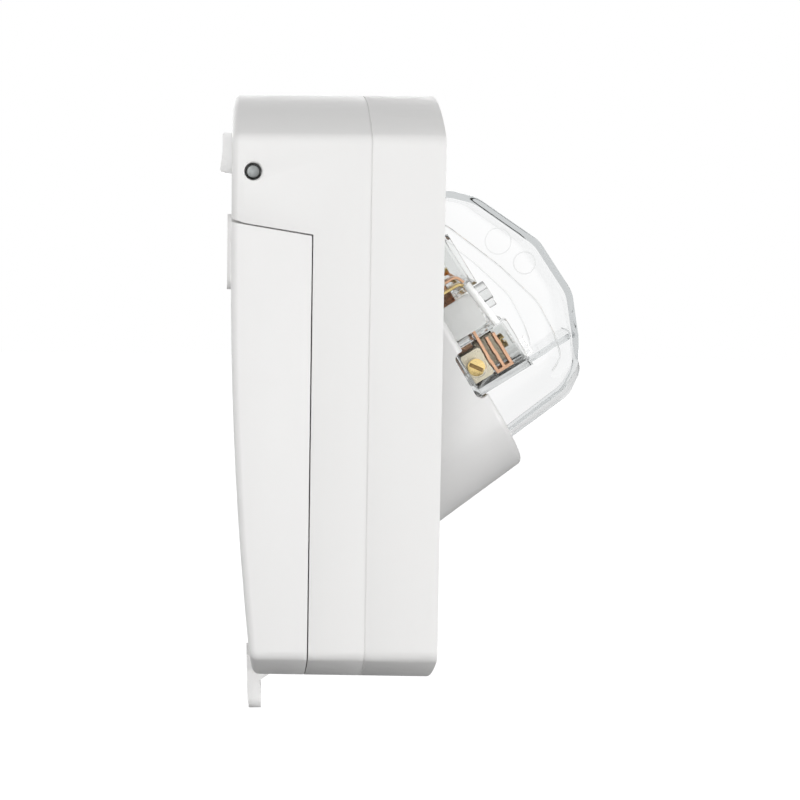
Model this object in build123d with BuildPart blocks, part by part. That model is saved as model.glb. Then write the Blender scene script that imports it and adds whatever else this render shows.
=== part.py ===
from build123d import *
import os
from math import cos, radians, sin, sqrt, tan

# Weather-protected switched socket outlet for one plug, with a hinged flap lid.
# Millimetres, +Z up, front towards -Y. The wall is the plane Y = 0, and the origin is the
# centre of the wall-fixing pattern on it. The socket axis leans up and back by socket_tilt.

# ---------------------------------------------------------------- driving dimensions
case_width = 84.0
side_top, side_bottom = 59.8, -59.9      # ends of the straight sides
top_rise, bottom_rise = 12.0, 11.2       # arch of the top and of the bottom
case_depth = 48.3
draft_angle = 1.0                        # the case narrows towards the front
case_corner = 3.6
wall = 2.6
front_flat_to = 33.0                     # below this height the front curves back
front_radius = 840.0
front_edge = 1.8

seam_depth = 16.7                        # back frame meets front cover
lid_seam = 30.1                          # lid meets the cover's face plate
lid_clearance = 0.3
face_plate = 2.5
shelf = 2.0                              # underside of the head, above the lid
lid_edge_height = 39.8
lid_edge_rise = 2.7
lid_edge_slope = 8.5
head_gap = 0.35                          # between the head and the lid's top edge
head_relief = 9.0                        # the head's underside is cut back to the front by this angle
seam_groove = 0.3

hinge_y, hinge_z = -43.5, 51.5
pin_radius = 1.5
eye_hole = 1.9
side_hole = 2.0

socket_y, socket_z = 2.1, 17.5           # where the socket axis meets the rim plane
socket_tilt = 32.3
tub_half = 27.0
tub_top, tub_sides, tub_bottom = 33.0, -27.0, -42.0
tub_wall = 2.2
tub_draft, tub_low_draft = 2.0, 4.6        # sides and top, and the bowed bottom
tub_length = 80.0
tub_rim_round = 1.6
rim_depth = 3.0                          # end wall lies this far inside the rim
end_wall = 2.5
face_centre = -2.0                       # socket centre, along the rim plane
base_half = 18.0

rocker_y, rocker_z = -44.4, 56.5
rocker_half, rocker_height = 8.5, 9.4
rocker_rest = 4.0                        # degrees off centre, either way

wall_fix_x, wall_fix_z = 33.0, 52.0
wall_post, wall_post_height = 4.4, 9.5
cover_fix_x, cover_fix_low, cover_fix_high = 35.9, -32.0, 27.0

# ---------------------------------------------------------------- working planes
front_view = Plane.XZ                                   # normal to the front, -Y
axis_dir = (0, cos(radians(socket_tilt)), sin(radians(socket_tilt)))
socket_plane = Plane(origin=(0, socket_y, socket_z), x_dir=(-1, 0, 0), z_dir=axis_dir)
socket_side = Plane(origin=(0, socket_y, socket_z), x_dir=axis_dir, z_dir=(1, 0, 0))
rim_dir = Vector(0, -sin(radians(socket_tilt)), cos(radians(socket_tilt)))
lid_edge_plane = Plane(origin=(0, -case_depth, lid_edge_height), x_dir=(1, 0, 0),
                       z_dir=(0, -cos(radians(lid_edge_slope)), sin(radians(lid_edge_slope))))
# the lid's top edge is nearest to the hinge this far back from its front corner
nearest = ((case_depth + hinge_y) * cos(radians(lid_edge_slope))
           - (hinge_z - lid_edge_height) * sin(radians(lid_edge_slope)))
relief_plane = Plane(origin=lid_edge_plane.origin - nearest * lid_edge_plane.z_dir, x_dir=(1, 0, 0),
                     z_dir=(0, -cos(radians(lid_edge_slope + head_relief)), sin(radians(lid_edge_slope + head_relief))))
screw_spots = [(x, z) for x in (-cover_fix_x, cover_fix_x) for z in (cover_fix_low, cover_fix_high)]
wall_spots = [(x, z) for x in (-wall_fix_x, wall_fix_x) for z in (-wall_fix_z, wall_fix_z)]


# ---------------------------------------------------------------- shared forms
def arch_radius(half, rise):
    """Radius of the arc that rises this much over a chord of twice half."""
    return (half**2 + rise**2) / (2 * rise)


def arched_side(half, edge, rise, corner, inset, sign):
    """Where the straight side ends, where its corner meets the arch, and the arch's crown.

    sign is 1 for an arch that bulges up and -1 for one that bulges down. The inset outline
    shares the centres of the outer one, so the walls between them are of even thickness.
    """
    radius = arch_radius(half, rise)
    corner = max(corner, inset + 0.5)
    centre = edge + sign * (rise - radius)
    reach = sqrt((radius - corner) ** 2 - (half - corner) ** 2)
    stretch = (radius - inset) / (radius - corner)
    side = (half - inset, centre + sign * reach)
    shoulder = ((half - corner) * stretch, centre + sign * reach * stretch)
    crown = (0, centre + sign * (radius - inset))
    return side, shoulder, crown


def arched_outline(plane, half, top, bottom, corner, inset):
    """A closed outline with straight sides and an arch above and below, on the plane."""
    top_side, top_shoulder, top_crown = arched_side(half, *top, corner, inset, 1)
    low_side, low_shoulder, low_crown = arched_side(half, *bottom, corner, inset, -1)
    with BuildSketch(plane) as outline:
        with BuildLine():
            Line(low_side, top_side)
            TangentArc(top_side, top_shoulder, tangent=(0, 1))
            ThreePointArc(top_shoulder, top_crown, (-top_shoulder[0], top_shoulder[1]))
            TangentArc((-top_side[0], top_side[1]), (-top_shoulder[0], top_shoulder[1]), tangent=(0, 1))
            Line((-top_side[0], top_side[1]), (-low_side[0], low_side[1]))
            TangentArc((-low_side[0], low_side[1]), (-low_shoulder[0], low_shoulder[1]), tangent=(0, -1))
            ThreePointArc((-low_shoulder[0], low_shoulder[1]), low_crown, low_shoulder)
            TangentArc(low_side, low_shoulder, tangent=(0, -1))
        make_face()
    return outline.sketch


def case_outline(inset=0.0, at_depth=0.0):
    """Front view of the case: straight sides, arched top and bottom, blended corners."""
    top, bottom = (side_top, top_rise), (side_bottom, bottom_rise)
    return arched_outline(front_view.offset(at_depth), case_width / 2, top, bottom, case_corner, inset)


def front_curve(z, inset=0.0):
    """Y of the curved lower front at height z, this far inside the surface."""
    return front_radius - case_depth - sqrt((front_radius - inset) ** 2 - (z - front_flat_to) ** 2)


def on_front_rim(edge):
    """True for the edges between the front of the case and its sides."""
    heights = [corner.Z for corner in edge.vertices()]
    if all(abs(height - front_flat_to) < 0.01 for height in heights):
        return False
    fronts = [front_curve(min(height, front_flat_to)) for height in heights]
    return all(abs(corner.Y - front) < 0.01 for corner, front in zip(edge.vertices(), fronts))


def case_form(inset=0.0):
    """The whole case as one drafted block with its curved front, inset from the skin."""
    low = side_bottom - 30
    with BuildPart() as form:
        extrude(case_outline(inset), amount=case_depth - inset, taper=draft_angle)
        with BuildSketch(Plane.YZ) as ahead:
            with BuildLine():
                start = (front_curve(front_flat_to, inset), front_flat_to)
                middle = (front_curve((front_flat_to + low) / 2, inset), (front_flat_to + low) / 2)
                end = (front_curve(low, inset), low)
                ThreePointArc(start, middle, end)
                Polyline(end, (-2 * case_depth, low), (-2 * case_depth, front_flat_to), start)
            make_face()
        extrude(amount=case_width, both=True, mode=Mode.SUBTRACT)
        if inset < front_edge:
            fillet(form.edges().filter_by(on_front_rim), front_edge - inset)
    return form.part


def lid_space(gap, back, edge_plane=lid_edge_plane):
    """All that lies under the lid's top edge raised by gap, in front of the depth back."""
    half = case_width / 2 + 0.5
    with BuildPart() as space:
        with BuildSketch(edge_plane):
            with BuildLine():
                Line((-70, gap), (-half, gap))
                ThreePointArc((-half, gap), (0, gap + lid_edge_rise), (half, gap))
                Polyline((half, gap), (70, gap), (70, -150), (-70, -150), (-70, gap))
            make_face()
        extrude(amount=70, both=True)
        split(bisect_by=front_view.offset(back), keep=Keep.TOP)
    return space.part


def tub_outline(inset=0.0, at=0.0):
    """End view of the recess housing along the socket axis: flat top, bowed bottom."""
    flare, low_flare = -at * tan(radians(tub_draft)), -at * tan(radians(tub_low_draft))
    top, bottom = (tub_top + flare - 1.2, 1.2), (tub_sides, tub_sides - tub_bottom + low_flare)
    return arched_outline(socket_plane.offset(at), tub_half + flare, top, bottom, 6.0, inset)


def tub_form(inset, at):
    """The drafted block from the depth at, below the rim plane, towards the mouth."""
    with BuildPart() as form:
        loft([tub_outline(inset, at), tub_outline(inset, at - tub_length)], ruled=True)
    return form.part


def ring(outer_inset, inner_inset, depth, thickness):
    """A flat ring that follows the case outline, from depth towards the front."""
    with BuildPart() as band:
        extrude(case_outline(outer_inset, depth), amount=thickness)
        extrude(case_outline(inner_inset, depth), amount=thickness, mode=Mode.SUBTRACT)
    return band.part


outer_form = case_form()
inner_form = case_form(wall)
gasket_band = ring(1.0, 2.1, seam_depth - 1.0, 1.0)
wall_band = ring(wall + 0.1, wall + 3.9, 0.3, 2.7)
seam_cut = ring(-0.5, 0.5, seam_depth, seam_groove)
tub_cavity = tub_form(tub_wall, -rim_depth - end_wall)
tub_outer = tub_form(0, 0)

# ---------------------------------------------------------------- back frame
with BuildPart() as back_frame:
    add(outer_form)
    split(bisect_by=front_view.offset(seam_depth), keep=Keep.BOTTOM)
    extrude(case_outline(wall), amount=3.0, mode=Mode.SUBTRACT)
    extrude(case_outline(wall + 0.2, 5.5), amount=seam_depth, mode=Mode.SUBTRACT)
    with BuildSketch(front_view.offset(3.0)) as screw_posts:
        with Locations(*screw_spots):
            Circle(3.2)
    extrude(amount=seam_depth - 3.0)
    with BuildSketch(front_view) as wall_posts:
        with Locations(*wall_spots):
            Circle(wall_post)
    extrude(amount=wall_post_height)
    with BuildSketch(front_view.offset(-1)) as window:
        with Locations((0, 5)):
            RectangleRounded(59.4, 94, 8)
    extrude(amount=seam_depth + 2, mode=Mode.SUBTRACT)
    add(gasket_band, mode=Mode.SUBTRACT)
    with Locations(*[Location((x, -wall_post_height, z), (90, 0, 0)) for x, z in wall_spots]):
        CounterSinkHole(radius=2.2, counter_sink_radius=4.0, depth=12)
    with Locations(*[Location((x, -seam_depth, z), (90, 0, 0)) for x, z in screw_spots]):
        Hole(radius=1.5, depth=11)
back_frame.part.label = "back_frame"

# ---------------------------------------------------------------- gaskets
with BuildPart() as cover_gasket:
    add(gasket_band)
cover_gasket.part.label = "cover_gasket"

with BuildPart() as wall_gasket:
    add(wall_band)
    with BuildSketch(front_view) as around_posts:
        with Locations(*wall_spots):
            Circle(wall_post + 0.2)
    extrude(amount=4, mode=Mode.SUBTRACT)
wall_gasket.part.label = "wall_gasket"

# ---------------------------------------------------------------- front cover
cover_hollow_limit = lid_space(head_gap + shelf, lid_seam - lid_clearance - face_plate)
with BuildPart() as cover_hollow:
    add(inner_form)
    split(bisect_by=front_view.offset(seam_depth - 5), keep=Keep.TOP)
    add(cover_hollow_limit, mode=Mode.SUBTRACT)

with BuildPart() as front_cover:
    add(outer_form)
    split(bisect_by=front_view.offset(seam_depth), keep=Keep.TOP)
    add(lid_space(head_gap, lid_seam - lid_clearance), mode=Mode.SUBTRACT)
    add(lid_space(head_gap, lid_seam - lid_clearance, relief_plane), mode=Mode.SUBTRACT)
    add(cover_hollow.part, mode=Mode.SUBTRACT)
    add(seam_cut, mode=Mode.SUBTRACT)
    with BuildSketch(front_view.offset(seam_depth)) as posts:
        with Locations(*screw_spots):
            Circle(3.2)
    extrude(amount=lid_seam - seam_depth - 1)
    for side in (-1, 1):
        # web that carries the inner end of the hinge pin
        with BuildSketch(Plane.YZ.offset(side * 33.2)) as web:
            with Locations((hinge_y + 1, hinge_z + 1)):
                Rectangle(8.6, 9)
            with Locations((hinge_y, hinge_z)):
                Circle(pin_radius, mode=Mode.SUBTRACT)
        extrude(amount=1.2, both=True)
        # pocket and slots through which the lid's arm swings
        with BuildSketch(Plane.YZ.offset(side * 37.0)) as arm_slot:
            with Locations((-35.3, 45.5)):
                Rectangle(23.0, 22)
        extrude(amount=1.9, both=True, mode=Mode.SUBTRACT)
        with BuildSketch(Plane.YZ.offset(side * case_width / 2)) as pin_access:
            with Locations((hinge_y, hinge_z)):
                Circle(side_hole)
        extrude(amount=-side * 5, mode=Mode.SUBTRACT)
        with Locations(Location((side * (case_width / 2 - 0.45), hinge_y, hinge_z), (0, side * 90, 0))):
            Cone(side_hole, side_hole + 1.2, 1.2, mode=Mode.SUBTRACT)
    with BuildSketch(front_view.offset(case_depth + 1)) as rocker_window:
        with Locations((0, rocker_z)):
            RectangleRounded(2 * rocker_half + 0.8, rocker_height + 1.4, 1.0)
    extrude(amount=-6, mode=Mode.SUBTRACT)
    add(tub_cavity, mode=Mode.SUBTRACT)
    with BuildSketch(front_view.offset(seam_depth)) as screw_ways:
        with Locations(*screw_spots):
            Circle(1.7)
    extrude(amount=lid_seam, mode=Mode.SUBTRACT)
    with BuildSketch(front_view.offset(lid_seam - lid_clearance - 1.6)) as head_recesses:
        with Locations(*screw_spots):
            Circle(3.2)
    extrude(amount=lid_seam, mode=Mode.SUBTRACT)
front_cover.part.label = "front_cover"

# ---------------------------------------------------------------- lid
with BuildPart() as lid_hollow:
    add(inner_form)
    add(lid_space(-shelf, lid_seam - 10), mode=Mode.INTERSECT)

with BuildPart() as pull_tab:
    with BuildSketch(Plane.YZ) as tab_section:
        with BuildLine():
            Polyline((-43.6, -66), (-43.3, -76.6), (-42.9, -80.0), (-39.9, -80.0), (-40.0, -76.4), (-40.4, -72.6),
                     (-37.4, -70.6), (-37.4, -68.6), (-43.6, -66), close=True)
        make_face()
    extrude(amount=7, both=True)
    fillet(pull_tab.edges().filter_by(Axis.Y).group_by(Axis.Z)[0], 3.0)

with BuildPart() as lid:
    add(outer_form)
    add(lid_space(0, lid_seam), mode=Mode.INTERSECT)
    add(lid_hollow.part, mode=Mode.SUBTRACT)
    with BuildSketch(front_view.offset(case_depth + 0.9)) as pad:
        with Locations((0, 33.2)):
            RectangleRounded(50, 17.6, 3)
    extrude(amount=-2.5)
    add(pull_tab.part)
    for side in (-1, 1):
        with BuildSketch(Plane.YZ.offset(side * 37.0)) as upper_arm:
            with Locations((hinge_y, hinge_z)):
                Circle(3.1)
            with Locations((hinge_y + 15.4, hinge_z)):
                Circle(2.2)
            make_hull()
        extrude(amount=1.4, both=True)
        with BuildSketch(Plane.YZ.offset(side * 37.0)) as lower_arm:
            with Locations((hinge_y + 15.4, hinge_z)):
                Circle(2.2)
            with Locations((-32.8, 36.4)):
                Circle(2.2)
            make_hull()
        extrude(amount=1.4, both=True)
        with BuildSketch(Plane.YZ.offset(side * 37.0)) as eye:
            with Locations((hinge_y, hinge_z)):
                Circle(eye_hole)
        extrude(amount=1.4, both=True, mode=Mode.SUBTRACT)
    # gap in the bottom wall where the plug's lead comes out
    with BuildSketch(Plane.XY.offset(-75)) as lead_gap:
        with Locations((0, -lid_seam)):
            SlotOverall(18, 12, rotation=90)
    extrude(amount=11, mode=Mode.SUBTRACT)
lid.part.label = "lid"

# ---------------------------------------------------------------- hinge pins
with BuildPart() as hinge_pin_right:
    with BuildSketch(Plane.YZ.offset(32.2)) as pin_section:
        with Locations((hinge_y, hinge_z)):
            Circle(pin_radius)
    extrude(amount=8.0)
    chamfer(hinge_pin_right.edges().filter_by(GeomType.CIRCLE), 0.25)
hinge_pin_right.part.label = "hinge_pin_right"

with BuildPart() as hinge_pin_left:
    add(mirror(hinge_pin_right.part, about=Plane.YZ, mode=Mode.PRIVATE))
hinge_pin_left.part.label = "hinge_pin_left"

# ---------------------------------------------------------------- screws of the front cover
with BuildPart() as cover_screws:
    with BuildSketch(front_view.offset(9.0)) as shanks:
        with Locations(*screw_spots):
            Circle(1.5)
    extrude(amount=lid_seam - lid_clearance - 1.6 - 9.0)
    with BuildSketch(front_view.offset(lid_seam - lid_clearance - 1.6)) as heads:
        with Locations(*screw_spots):
            Circle(2.9)
    extrude(amount=1.5)
    with BuildSketch(front_view.offset(lid_seam - lid_clearance)) as slots:
        with Locations(*screw_spots):
            Rectangle(3.6, 0.9)
            Rectangle(0.9, 3.6)
    extrude(amount=-1.2, mode=Mode.SUBTRACT)
cover_screws.part.label = "cover_screws"

# ---------------------------------------------------------------- recess housing and its seal
flange_front = lid_seam - lid_clearance - face_plate - 1.0
tub_mouth_low, tub_mouth_high = -59.6, 37.6

with BuildPart() as recess_housing:
    add(tub_outer)
    fillet(recess_housing.faces().sort_by(Axis(socket_plane.origin, socket_plane.z_dir))[-1].edges(), tub_rim_round)
    split(bisect_by=front_view.offset(flange_front), keep=Keep.BOTTOM)
    with BuildSketch(front_view.offset(flange_front)) as flange:
        with Locations((0, (tub_mouth_low + tub_mouth_high) / 2)):
            RectangleRounded(64, tub_mouth_high - tub_mouth_low, 6)
    extrude(amount=-2.0)
    add(tub_cavity, mode=Mode.SUBTRACT)
    extrude(tub_outline(tub_wall, -rim_depth), amount=20, mode=Mode.SUBTRACT)
    for side in (-1, 1):
        # notch in the rim that lets a screwdriver reach the side terminal
        with BuildSketch(socket_side.offset(side * (tub_half - 4))) as notch:
            with Locations((0, -14.0)):
                RectangleRounded(5.6, 12.0, 1.6)
        extrude(amount=side * 8, mode=Mode.SUBTRACT)
    with BuildSketch(socket_plane.offset(-rim_depth - end_wall - 3.0)) as base_posts:
        with Locations(*[(x, v) for x in (-12, 12) for v in (19.2, -23.0)]):
            Circle(2.6)
    extrude(amount=3.5)
    with BuildSketch(socket_plane.offset(-rim_depth)) as face_hole:
        with Locations((0, face_centre)):
            Circle(19.8)
    extrude(amount=-10, mode=Mode.SUBTRACT)
    with BuildSketch(socket_plane.offset(-rim_depth)) as pilot_holes:
        with Locations(*[(x, v) for x in (-12, 12) for v in (19.2, -23.0)]):
            Circle(1.2)
    extrude(amount=-4.4, mode=Mode.SUBTRACT)
recess_housing.part.label = "recess_housing"

with BuildPart() as recess_seal:
    with BuildSketch(front_view.offset(flange_front)) as seal_sheet:
        with Locations((0, (tub_mouth_low + tub_mouth_high) / 2)):
            RectangleRounded(64, tub_mouth_high - tub_mouth_low, 6)
    extrude(amount=1.0)
    add(tub_cavity, mode=Mode.SUBTRACT)
recess_seal.part.label = "recess_seal"

# ---------------------------------------------------------------- socket face
pin_slots = [(6.86, 3.96, 60), (-6.86, 3.96, 120), (0.0, -10.3, 90)]
face_front = -rim_depth - end_wall - 2.4
with BuildPart() as socket_face:
    with BuildSketch(socket_plane.offset(face_front)) as face_disc:
        with Locations((0, face_centre)):
            Circle(20.6)
    extrude(amount=1.8)
    chamfer(socket_face.edges().group_by(Axis.Y)[0], 0.6)
    with BuildSketch(socket_plane.offset(face_front)) as face_neck:
        with Locations((0, face_centre)):
            Circle(19.5)
    extrude(amount=-face_front - rim_depth)
    with BuildSketch(socket_plane.offset(face_front)) as slots:
        for x, v, turn in pin_slots:
            with Locations((x, face_centre + v)):
                Rectangle(7.0, 2.2, rotation=turn)
    extrude(amount=10, both=True, mode=Mode.SUBTRACT)
socket_face.part.label = "socket_face"

with BuildPart() as socket_seal:
    with BuildSketch(socket_plane.offset(face_front + 1.8)) as seal_ring:
        with Locations((0, face_centre)):
            Circle(20.6)
            Circle(19.8, mode=Mode.SUBTRACT)
    extrude(amount=0.6)
socket_seal.part.label = "socket_seal"

# ---------------------------------------------------------------- clear terminal base
column_edge = 16.5
base_floor = -1.0
base_low, base_high = -20.6, 17.0
step_low, step_high = -7.7, 3.2
low_top, middle_top, high_top = 13.5, 10.3, 12.0
partition = 1.2
screw_v, screw_u = -14.2, 1.4

strip_levels = (5.2, 7.2, 9.2)           # layers of the folded contact strip
strip = 0.7
bar_x, bar_width, bar_thick = 6.6, 2.4, 0.8
bar_level = 6.1

pockets = [(column_edge + 5.4, base_low + 1.5, step_low - 0.6),
           (column_edge + 2.0, step_low + 0.6, step_high - 0.6),
           (column_edge + 2.0, step_high + 0.6, base_high - 1.5)]

with BuildPart() as terminal_base:
    with BuildSketch(socket_plane.offset(-rim_depth)) as plate:
        with Locations((0, -1.9)):
            RectangleRounded(40, 46.6, 4)
    extrude(amount=rim_depth + base_floor)
    with BuildSketch(socket_side) as chambers:
        with BuildLine():
            Polyline((-2, base_low), (low_top, base_low), (low_top, step_low), (middle_top, step_low),
                     (middle_top, step_high), (high_top, step_high), (high_top, base_high), (-2, base_high),
                     (-2, base_low))
        make_face()
    extrude(amount=base_half, both=True)
    with BuildSketch(socket_plane.offset(base_floor)) as wells:
        for side in (-1, 1):
            for total, low, high in pockets:
                inner = total - column_edge
                with Locations((side * total / 2, (low + high) / 2)):
                    Rectangle(column_edge - inner, high - low)
        with Locations((0, (base_low + 1.5 + step_low - 0.6) / 2)):
            Rectangle(8.4, step_low - 0.6 - base_low - 1.5)
    extrude(amount=20, mode=Mode.SUBTRACT)
    with BuildSketch(socket_plane.offset(5.0)) as strip_ways:
        with Locations((-10.5, step_low), (10.5, step_low)):
            Rectangle(5.4, 2.0)
    extrude(amount=20, mode=Mode.SUBTRACT)
    with BuildSketch(socket_plane.offset(-5)) as blade_ways:
        for x, v, turn in pin_slots:
            with Locations((x, face_centre + v)):
                Rectangle(7.6, 2.8, rotation=turn)
    extrude(amount=4.2, mode=Mode.SUBTRACT)
    with BuildSketch(socket_plane.offset(base_floor)) as clip_ways:
        for x, v, turn in pin_slots:
            with Locations((x, face_centre + v)):
                Rectangle(7.4, 4.0, rotation=turn)
    extrude(amount=strip_levels[0] - base_floor + 1.6, mode=Mode.SUBTRACT)
    with BuildSketch(socket_plane.offset(bar_level - 0.6)) as bar_ways:
        with Locations((-bar_x, base_high - 0.7), (bar_x, base_high - 0.7)):
            Rectangle(bar_width + 0.8, 3.0)
    extrude(amount=20, mode=Mode.SUBTRACT)
    with BuildSketch(socket_side) as side_ways:
        with Locations((screw_u, screw_v)):
            Circle(2.4)
    extrude(amount=base_half + 3, both=True, mode=Mode.SUBTRACT)
    with BuildSketch(socket_plane.offset(middle_top)) as post:
        with Locations((0, face_centre)):
            Circle(3.4)
            Circle(1.3, mode=Mode.SUBTRACT)
    extrude(amount=4.7)
    with BuildSketch(socket_plane.offset(base_floor)) as base_ways:
        with Locations(*[(x, v) for x in (-12, 12) for v in (19.2, -23.0)]):
            Circle(1.3)
    extrude(amount=-4, mode=Mode.SUBTRACT)
terminal_base.part.label = "terminal_base"

with BuildPart() as base_screws:
    with BuildSketch(socket_plane.offset(-rim_depth - 4.0)) as shanks:
        with Locations(*[(x, v) for x in (-12, 12) for v in (19.2, -23.0)]):
            Circle(1.2)
    extrude(amount=4.0 + rim_depth + base_floor)
    with BuildSketch(socket_plane.offset(base_floor)) as heads:
        with Locations(*[(x, v) for x in (-12, 12) for v in (19.2, -23.0)]):
            Circle(2.1)
    extrude(amount=1.4)
base_screws.part.label = "base_screws"

# ---------------------------------------------------------------- contacts and terminals
def blade_clip(x, v, turn, height):
    """A folded spring clip round the place of one plug blade."""
    with BuildPart() as clip:
        with BuildSketch(socket_plane.offset(base_floor)) as walls:
            with Locations((x, face_centre + v)):
                Rectangle(7.0, 3.6, rotation=turn)
                Rectangle(7.0, 1.8, rotation=turn, mode=Mode.SUBTRACT)
        extrude(amount=height)
        with BuildSketch(socket_plane.offset(base_floor + height)) as crown:
            with Locations((x, face_centre + v)):
                Rectangle(7.0, 3.6, rotation=turn)
        extrude(amount=strip)
    return clip.part


def line_contact(side):
    """Blade clip with the folded strip that carries it to its side terminal."""
    x, v, turn = pin_slots[0 if side > 0 else 1]
    with BuildPart() as contact:
        add(blade_clip(x, v, turn, strip_levels[0] - base_floor))
        with BuildSketch(socket_side.offset(-side * 8.2)) as folds:
            for level, end in zip(strip_levels, (step_high - 1.4, -9.6, -9.6)):
                with Locations((level + strip / 2, (end - 18.4) / 2)):
                    Rectangle(strip, end + 18.4)
            with Locations(((strip_levels[0] + strip_levels[2] + strip) / 2, -18.4)):
                Rectangle(strip_levels[2] - strip_levels[0] + strip, strip)
        extrude(amount=-side * 4.6)
    return contact.part


with BuildPart() as active_contact:
    add(line_contact(1))
active_contact.part.label = "active_contact"

with BuildPart() as neutral_contact:
    add(line_contact(-1))
neutral_contact.part.label = "neutral_contact"

with BuildPart() as earth_contact:
    x, v, turn = pin_slots[2]
    add(blade_clip(x, v, turn, 4.4))
earth_contact.part.label = "earth_contact"

with BuildPart() as terminal_blocks:
    for side in (-1, 1):
        with BuildSketch(socket_side.offset(side * 7.2)) as low_block:
            with Locations((1.9, screw_v)):
                RectangleRounded(5.6, 7.6, 0.8)
        extrude(amount=side * 7.0)
        with BuildSketch(socket_side.offset(side * 5.2)) as high_block:
            with Locations((2.4, 10.2)):
                RectangleRounded(6.6, 7.6, 0.8)
        extrude(amount=side * 9.0)
    with BuildSketch(socket_plane.offset(4.4)) as earth_block:
        with Locations((0, -13.8)):
            RectangleRounded(7.4, 8.6, 0.8)
    extrude(amount=5.4)
terminal_blocks.part.label = "terminal_blocks"

with BuildPart() as terminal_screws:
    for side in (-1, 1):
        with BuildSketch(socket_side.offset(side * 14.2)) as side_head:
            with Locations((screw_u, screw_v)):
                Circle(2.1)
        extrude(amount=side * 3.4)
        with BuildSketch(socket_plane.offset(5.7)) as top_head:
            with Locations((side * 11.0, 10.2)):
                Circle(2.1)
        extrude(amount=2.4)
    with BuildSketch(socket_plane.offset(9.8)) as earth_head:
        with Locations((0, -13.8)):
            Circle(2.1)
    extrude(amount=2.2)
    for side in (-1, 1):
        with BuildSketch(socket_side.offset(side * 16.8)) as drive:
            with Locations((screw_u, screw_v)):
                Rectangle(0.7, 5, rotation=35)
        extrude(amount=side * 2, mode=Mode.SUBTRACT)
terminal_screws.part.label = "terminal_screws"

# ---------------------------------------------------------------- clear terminal cover
# Outlines in the plane of the socket axis, (along the axis, along the rim), at three stations
# across the cover: its flat flank, the edge of its crown and its middle.
cover_skin = 1.7
flank = [(10.0, 21.6), (12.2, 19.0), (18.0, 4.4), (21.4, -7.5), (21.0, -15.5), (19.6, -21.8), (16.0, -23.6)]
shoulder = [(17.8, 25.8), (23.0, 20.5), (30.5, 3.8), (31.0, -11.0), (26.5, -21.5), (23.0, -26.8), (17.0, -30.2)]
crown = [(17.8, 25.8), (23.0, 20.5), (30.5, 3.8), (31.0, -11.0), (27.5, -22.5), (24.5, -31.0), (18.9, -34.6)]
stations = [(24.4, 23.4, -24.2, flank), (16.0, 30.3, -32.1, shoulder), (0.0, 30.3, -36.4, crown)]


def cover_form(skin, floor):
    """The cover as a ruled loft over its stations, this far inside the outer surface."""
    with BuildPart() as form:
        both_sides = stations + [(-x, top, low, points) for x, top, low, points in reversed(stations[:2])]
        for x, top, low, points in both_sides:
            across = x - skin * (x > 20) + skin * (x < -20)
            with BuildSketch(socket_side.offset(across)) as station:
                with BuildLine():
                    Polyline((floor, top), *points, (floor, low), close=True)
                make_face()
                if skin:
                    offset(amount=-skin, kind=Kind.INTERSECTION)
        loft(ruled=True)
    return form.part


cable_hole = 4.2
cable_plane = Plane(origin=socket_plane.origin + 40 * rim_dir, x_dir=(1, 0, 0), z_dir=rim_dir)
with BuildPart() as terminal_cover:
    add(cover_form(0, -rim_depth))
    add(cover_form(cover_skin, -rim_depth - 5), mode=Mode.SUBTRACT)
    # legs that snap over the ends of the terminal base
    with BuildSketch(socket_side) as snap_leg:
        with Locations((20.6, base_low + 0.2)):
            Rectangle(13.4, 1.2)
    extrude(amount=9, both=True)
    # way in for the supply cable, and the slot that clears the link bars
    with BuildSketch(cable_plane) as cable_way:
        with Locations((0, 12.8)):
            Circle(cable_hole)
        with Locations((0, bar_level)):
            Rectangle(2 * bar_x + bar_width + 1.6, 2.6)
    extrude(amount=-18, mode=Mode.SUBTRACT)
terminal_cover.part.label = "terminal_cover"

# ---------------------------------------------------------------- switch
with BuildPart() as switch_body:
    with BuildSketch(front_view.offset(30.0)) as body_outline:
        with Locations((0, rocker_z)):
            RectangleRounded(27, 18.4, 1.5)
    extrude(amount=case_depth - wall - 30.0)
    with BuildSketch(front_view.offset(36.0)) as body_well:
        with Locations((0, rocker_z)):
            Rectangle(2 * rocker_half + 1.6, 13.4)
    extrude(amount=20, mode=Mode.SUBTRACT)
    with BuildSketch(front_view.offset(31.5)) as contact_well:
        with Locations((0, rocker_z)):
            Rectangle(12, 13.4)
    extrude(amount=20, mode=Mode.SUBTRACT)
    with BuildSketch(Plane.YZ) as pivot_hole:
        with Locations((rocker_y, rocker_z)):
            Circle(0.8)
    extrude(amount=11, both=True, mode=Mode.SUBTRACT)
switch_body.part.label = "switch_body"

rest = radians(rocker_rest)
rocker_plane = Plane(origin=(0, rocker_y, rocker_z), x_dir=(0, cos(rest), -sin(rest)), z_dir=(1, 0, 0))
with BuildPart() as rocker:
    with BuildSketch(rocker_plane) as rocker_section:
        with BuildLine():
            half = rocker_height / 2
            ThreePointArc((-6.6, -half), (-6.3, 0), (-6.6, half))
            Polyline((-6.6, half), (-1.0, half), (1.4, 1.9), (4.6, 1.9), (4.6, -1.9), (1.4, -1.9), (-1.0, -half),
                     (-6.6, -half))
        make_face()
    extrude(amount=rocker_half, both=True)
    fillet(rocker.edges().filter_by(Axis.X).group_by(Axis.Y)[0] + rocker.edges().filter_by(Axis.X).group_by(Axis.Y)[1], 0.6)
    with BuildSketch(rocker_plane) as rocker_bore:
        Circle(0.9)
    extrude(amount=rocker_half + 1, both=True, mode=Mode.SUBTRACT)
    with BuildSketch(Plane(origin=rocker_plane.origin, x_dir=(1, 0, 0), z_dir=rocker_plane.x_dir).offset(1.6)) as bore:
        Circle(1.1)
    extrude(amount=6, mode=Mode.SUBTRACT)
rocker.part.label = "rocker"

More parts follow.
